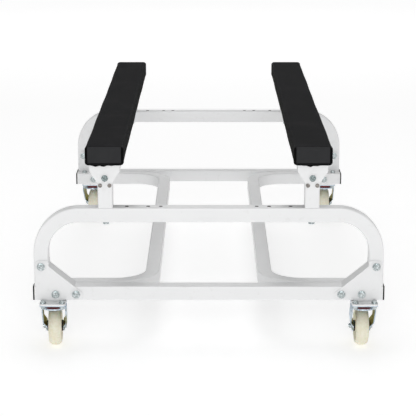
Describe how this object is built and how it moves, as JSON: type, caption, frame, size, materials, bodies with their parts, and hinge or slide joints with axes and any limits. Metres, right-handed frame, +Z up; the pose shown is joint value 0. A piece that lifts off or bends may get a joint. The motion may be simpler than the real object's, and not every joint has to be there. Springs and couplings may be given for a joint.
{
  "type": "watercraft dolly",
  "caption": "Low tubular storage dolly with hooped end frames, C-shaped side rails, tilting carpeted bunks on posts, and swivel casters.",
  "frame": {"origin": "on the floor under the middle of the whole dolly, rear wheels included", "axes": "+X to the right, +Y from front to rear along the bunks, +Z up"},
  "size_m": [0.91, 1.4992, 0.5473],
  "materials": {
    "powder_coat": "smooth semi-gloss white powder coat",
    "black_plastic": "moulded matte",
    "zinc": "bright blue-white zinc plate",
    "yellow_zinc": "dull yellow-brown zinc plate",
    "caster_zinc": "zinc plate, bluish outside and olive-yellow inside",
    "bare_steel": "bare ground steel",
    "red_rubber": "moulded",
    "nylon": "satin ivory nylon",
    "timber": "planed softwood",
    "carpet": "ribbed marine carpet",
    "panel": "smooth matte"
  },
  "bodies": {
    "frame": {"front_hoop": "powder_coat", "rear_hoop": "powder_coat", "front_crossbar": "powder_coat", "rear_crossbar": "powder_coat", "left_rail": "powder_coat", "right_rail": "powder_coat", "front_left_gusset": "powder_coat", "front_right_gusset": "powder_coat", "rear_left_gusset": "powder_coat", "rear_right_gusset": "powder_coat", "front_left_caster_mount": "powder_coat", "front_right_caster_mount": "powder_coat", "rear_left_caster_mount": "powder_coat", "rear_right_caster_mount": "powder_coat", "front_left_post": "powder_coat", "front_right_post": "powder_coat", "rear_left_post": "powder_coat", "rear_right_post": "powder_coat", "tube_end_caps": "black_plastic", "gusset_bolts": "zinc", "caster_bolts": "zinc", "post_bolts": "zinc", "pivot_bolts": "zinc", "tilt_lock_screws": "yellow_zinc", "front_left_caster_plate": "caster_zinc", "front_right_caster_plate": "caster_zinc", "rear_left_caster_plate": "caster_zinc", "rear_right_caster_plate": "caster_zinc", "kingpins": "zinc", "swivel_balls": "bare_steel", "dust_seals": "red_rubber"},
    "front_left_swivel": {"front_left_fork": "caster_zinc", "front_left_axle_bolt": "zinc", "front_left_axle_sleeve": "bare_steel"},
    "front_right_swivel": {"front_right_fork": "caster_zinc", "front_right_axle_bolt": "zinc", "front_right_axle_sleeve": "bare_steel"},
    "rear_left_swivel": {"rear_left_fork": "caster_zinc", "rear_left_axle_bolt": "zinc", "rear_left_axle_sleeve": "bare_steel"},
    "rear_right_swivel": {"rear_right_fork": "caster_zinc", "rear_right_axle_bolt": "zinc", "rear_right_axle_sleeve": "bare_steel"},
    "front_left_roller": {"front_left_wheel": "nylon"},
    "front_right_roller": {"front_right_wheel": "nylon"},
    "rear_left_roller": {"rear_left_wheel": "nylon"},
    "rear_right_roller": {"rear_right_wheel": "nylon"},
    "left_bunk": {"left_bunk_board": "timber", "left_bunk_carpet": "carpet", "left_bunk_end_panels": "panel", "front_left_saddle": "powder_coat", "rear_left_saddle": "powder_coat", "left_saddle_screws": "zinc"},
    "right_bunk": {"right_bunk_board": "timber", "right_bunk_carpet": "carpet", "right_bunk_end_panels": "panel", "front_right_saddle": "powder_coat", "rear_right_saddle": "powder_coat", "right_saddle_screws": "zinc"}
  },
  "joints": [
    {"name": "front_left_swivel_turn", "type": "hinge", "parent": "frame", "child": "front_left_swivel", "pos_m": [-0.4025, -0.6941, 0.12], "axis": [0, 0, 1], "continuous": true},
    {"name": "front_left_wheel_roll", "type": "hinge", "parent": "front_left_swivel", "child": "front_left_roller", "pos_m": [-0.40407, -0.65813, 0.0508], "axis": [0.999, 0.0436, 0], "continuous": true},
    {"name": "front_right_swivel_turn", "type": "hinge", "parent": "frame", "child": "front_right_swivel", "pos_m": [0.4025, -0.6941, 0.12], "axis": [0, 0, 1], "continuous": true},
    {"name": "front_right_wheel_roll", "type": "hinge", "parent": "front_right_swivel", "child": "front_right_roller", "pos_m": [0.40187, -0.65811, 0.0508], "axis": [0.9998, 0.0175, 0], "continuous": true},
    {"name": "rear_left_swivel_turn", "type": "hinge", "parent": "frame", "child": "rear_left_swivel", "pos_m": [-0.4025, 0.6628, 0.12], "axis": [0, 0, 1], "continuous": true},
    {"name": "rear_left_wheel_roll", "type": "hinge", "parent": "rear_left_swivel", "child": "rear_left_roller", "pos_m": [-0.3978, 0.69849, 0.0508], "axis": [0.9914, -0.1305, 0], "continuous": true},
    {"name": "rear_right_swivel_turn", "type": "hinge", "parent": "frame", "child": "rear_right_swivel", "pos_m": [0.4025, 0.6628, 0.12], "axis": [0, 0, 1], "continuous": true},
    {"name": "rear_right_wheel_roll", "type": "hinge", "parent": "rear_right_swivel", "child": "rear_right_roller", "pos_m": [0.4025, 0.6988, 0.0508], "axis": [1, 0, 0], "continuous": true},
    {"name": "left_bunk_tilt", "type": "hinge", "parent": "frame", "child": "left_bunk", "pos_m": [-0.264, -0.01565, 0.4628], "axis": [0, 1, 0], "range_deg": [-8, 8]},
    {"name": "right_bunk_tilt", "type": "hinge", "parent": "frame", "child": "right_bunk", "pos_m": [0.264, -0.01565, 0.4628], "axis": [0, 1, 0], "range_deg": [-8, 8]}
  ]
}
